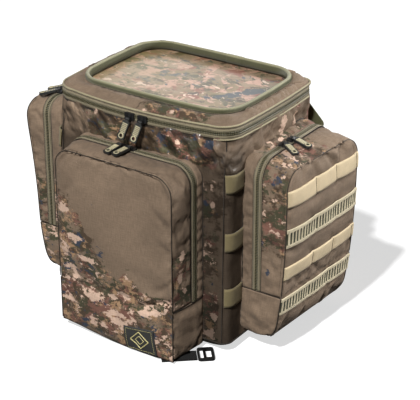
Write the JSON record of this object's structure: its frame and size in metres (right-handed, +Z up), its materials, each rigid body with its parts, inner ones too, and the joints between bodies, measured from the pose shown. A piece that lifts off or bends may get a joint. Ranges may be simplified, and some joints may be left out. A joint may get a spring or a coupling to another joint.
{
  "type": "tackle backpack",
  "caption": "Free-standing fishing backpack: zipped box lid with a rimmed work surface, zipped front and side pockets, webbing straps and a padded harness.",
  "frame": {"origin": "on the ground, under the centre of the main compartment", "axes": "+X to the viewer's right when facing the front pocket, -Y towards the front pocket, +Y towards the harness, +Z up"},
  "size_m": [0.4172, 0.3075, 0.3236],
  "materials": {
    "fabric_brown": "matte woven polyester",
    "fabric_camo": "printed woven polyester",
    "fabric_black": "matte woven polyester",
    "lining": "coated lining",
    "binding_olive": "ribbed woven binding",
    "zip_tape": "knitted zip tape with moulded chain",
    "webbing_tan": "woven webbing",
    "webbing_ladder": "woven webbing with barred pattern",
    "webbing_olive": "woven webbing",
    "harness_pad": "padded woven fabric with bound edge",
    "webbing_black": "woven webbing",
    "mesh_black": "spacer mesh",
    "plastic_black": "moulded, satin",
    "pull_moulded": "moulded, ribbed",
    "tray_print": "printed, wipe clean",
    "board": "rigid sheet",
    "patch": "moulded soft patch"
  },
  "bodies": {
    "pack": {"main_compartment": "fabric_camo", "inner_liner": "lining", "base_panel": "fabric_black", "base_board": "board", "frame_sheet": "board", "compartment_divider": "lining", "main_zip_tape": "zip_tape", "corner_loops": "webbing_tan", "front_pocket_gusset": "fabric_camo", "front_zip_inner": "zip_tape", "front_pocket_base": "fabric_camo", "badge_patch": "patch", "right_pocket_gusset": "fabric_brown", "left_pocket_gusset": "fabric_brown", "right_zip_inner": "zip_tape", "left_zip_inner": "zip_tape", "right_pocket_base": "fabric_brown", "left_pocket_base": "fabric_camo", "lower_ladder_webs": "webbing_ladder", "back_panel": "mesh_black", "harness_webbing": "webbing_olive", "accessory_strap": "webbing_black"},
    "right_harness": {"right_shoulder_strap": "harness_pad", "right_ladder_lock": "plastic_black"},
    "left_harness": {"left_shoulder_strap": "harness_pad", "left_ladder_lock": "plastic_black"},
    "lid": {"lid_cover": "fabric_camo", "lid_zip_tape": "zip_tape", "lid_rim": "binding_olive", "work_surface": "tray_print", "lid_board": "board", "lid_mesh_pocket": "mesh_black"},
    "front_flap": {"front_pocket_cover": "fabric_camo", "front_zip_outer": "zip_tape"},
    "right_flap": {"right_pocket_cover": "fabric_camo", "right_zip_outer": "zip_tape", "right_webbing": "webbing_tan", "right_ladder_web": "webbing_ladder"},
    "left_flap": {"left_pocket_cover": "fabric_camo", "left_zip_outer": "zip_tape", "left_webbing": "webbing_tan", "left_ladder_web": "webbing_ladder"},
    "handle": {"haul_handle": "webbing_black"},
    "buckle": {"accessory_buckle": "plastic_black"},
    "lid_left_zip": {"lid_left_slider": "plastic_black"},
    "lid_left_tab": {"lid_left_pull": "pull_moulded"},
    "lid_right_zip": {"lid_right_slider": "plastic_black"},
    "lid_right_tab": {"lid_right_pull": "pull_moulded"},
    "front_left_zip": {"front_left_slider": "plastic_black"},
    "front_left_tab": {"front_left_pull": "pull_moulded"},
    "front_right_zip": {"front_right_slider": "plastic_black"},
    "front_right_tab": {"front_right_pull": "pull_moulded"},
    "right_front_zip": {"right_front_slider": "plastic_black"},
    "right_front_tab": {"right_front_pull": "pull_moulded"},
    "right_rear_zip": {"right_rear_slider": "plastic_black"},
    "right_rear_tab": {"right_rear_pull": "pull_moulded"},
    "left_front_zip": {"left_front_slider": "plastic_black"},
    "left_front_tab": {"left_front_pull": "pull_moulded"},
    "left_rear_zip": {"left_rear_slider": "plastic_black"},
    "left_rear_tab": {"left_rear_pull": "pull_moulded"}
  },
  "joints": [
    {"name": "lid_hinge", "type": "hinge", "parent": "pack", "child": "lid", "pos_m": [0, 0.0985, 0.30375], "axis": [-1, 0, 0], "range_deg": [0, 110]},
    {"name": "front_pocket_hinge", "type": "hinge", "parent": "pack", "child": "front_flap", "pos_m": [0, -0.155, 0.0749], "axis": [1, 0, 0], "range_deg": [0, 90]},
    {"name": "right_pocket_hinge", "type": "hinge", "parent": "pack", "child": "right_flap", "pos_m": [0.1983, 0.013, 0.0869], "axis": [0.0569, 0.9984, 0], "range_deg": [0, 90]},
    {"name": "left_pocket_hinge", "type": "hinge", "parent": "pack", "child": "left_flap", "pos_m": [-0.1933, 0, 0.0869], "axis": [0, -1, 0], "range_deg": [0, 90]},
    {"name": "haul_handle_lift", "type": "hinge", "parent": "pack", "child": "handle", "pos_m": [0, 0.114, 0.281], "axis": [1, 0, 0], "range_deg": [0, 90]},
    {"name": "right_shoulder_strap_swing", "type": "hinge", "parent": "pack", "child": "right_harness", "pos_m": [0.068, 0.112, 0.276], "axis": [1, 0, 0], "range_deg": [0, 18]},
    {"name": "left_shoulder_strap_swing", "type": "hinge", "parent": "pack", "child": "left_harness", "pos_m": [-0.068, 0.112, 0.276], "axis": [1, 0, 0], "range_deg": [0, 18]},
    {"name": "accessory_buckle_lift", "type": "hinge", "parent": "pack", "child": "buckle", "pos_m": [0.10373, -0.12031, 0.0018], "axis": [0.6428, -0.766, 0], "range_deg": [0, 30]},
    {"name": "lid_left_zip_slide", "type": "slide", "parent": "pack", "child": "lid_left_zip", "axis": [-1, 0, 0], "range_m": [0, 0.054]},
    {"name": "lid_left_pull_swing", "type": "hinge", "parent": "lid_left_zip", "child": "lid_left_tab", "pos_m": [-0.00156, -0.1151, 0.30111], "axis": [-0.9781, 0, 0.2079], "range_deg": [-15, 60]},
    {"name": "lid_right_zip_slide", "type": "slide", "parent": "pack", "child": "lid_right_zip", "axis": [1, 0, 0], "range_m": [0, 0.047]},
    {"name": "lid_right_pull_swing", "type": "hinge", "parent": "lid_right_zip", "child": "lid_right_tab", "pos_m": [0.01744, -0.1151, 0.30111], "axis": [-0.9781, 0, 0.2079], "range_deg": [-15, 60]},
    {"name": "front_left_zip_slide", "type": "slide", "parent": "front_flap", "child": "front_left_zip", "axis": [-1, 0, 0], "range_m": [0, 0.048]},
    {"name": "front_left_pull_swing", "type": "hinge", "parent": "front_left_zip", "child": "front_left_tab", "pos_m": [-0.01273, -0.11714, 0.26529], "axis": [-0.9962, 0.0869, 0.0069], "range_deg": [0, 35]},
    {"name": "front_right_zip_slide", "type": "slide", "parent": "front_flap", "child": "front_right_zip", "axis": [1, 0, 0], "range_m": [0, 0.062]},
    {"name": "front_right_pull_swing", "type": "hinge", "parent": "front_right_zip", "child": "front_right_tab", "pos_m": [0.00198, -0.1171, 0.2653], "axis": [-0.9816, 0.1902, 0.0151], "range_deg": [0, 35]},
    {"name": "right_front_zip_slide", "type": "slide", "parent": "right_flap", "child": "right_front_zip", "axis": [0, -1, 0], "range_m": [0, 0.028]},
    {"name": "right_front_pull_swing", "type": "hinge", "parent": "right_front_zip", "child": "right_front_tab", "pos_m": [0.16045, -0.00927, 0.26957], "axis": [-0.4608, -0.8829, 0.0896], "range_deg": [0, 60]},
    {"name": "right_rear_zip_slide", "type": "slide", "parent": "right_flap", "child": "right_rear_zip", "axis": [0, 1, 0], "range_m": [0, 0.044]},
    {"name": "right_rear_pull_swing", "type": "hinge", "parent": "right_rear_zip", "child": "right_rear_tab", "pos_m": [0.16074, 0.01067, 0.26952], "axis": [-0.1196, -0.9925, 0.0233], "range_deg": [0, 60]},
    {"name": "left_front_zip_slide", "type": "slide", "parent": "left_flap", "child": "left_front_zip", "axis": [0, -1, 0], "range_m": [0, 0.012]},
    {"name": "left_front_pull_swing", "type": "hinge", "parent": "left_front_zip", "child": "left_front_tab", "pos_m": [-0.17525, -0.03484, 0.27498], "axis": [-0.6637, 0.7314, -0.1567], "range_deg": [0, 60]},
    {"name": "left_rear_zip_slide", "type": "slide", "parent": "left_flap", "child": "left_rear_zip", "axis": [0, 1, 0], "range_m": [0, 0.07]},
    {"name": "left_rear_pull_swing", "type": "hinge", "parent": "left_rear_zip", "child": "left_rear_tab", "pos_m": [-0.17549, -0.01655, 0.27493], "axis": [-0.5582, 0.8192, -0.1318], "range_deg": [0, 60]}
  ]
}
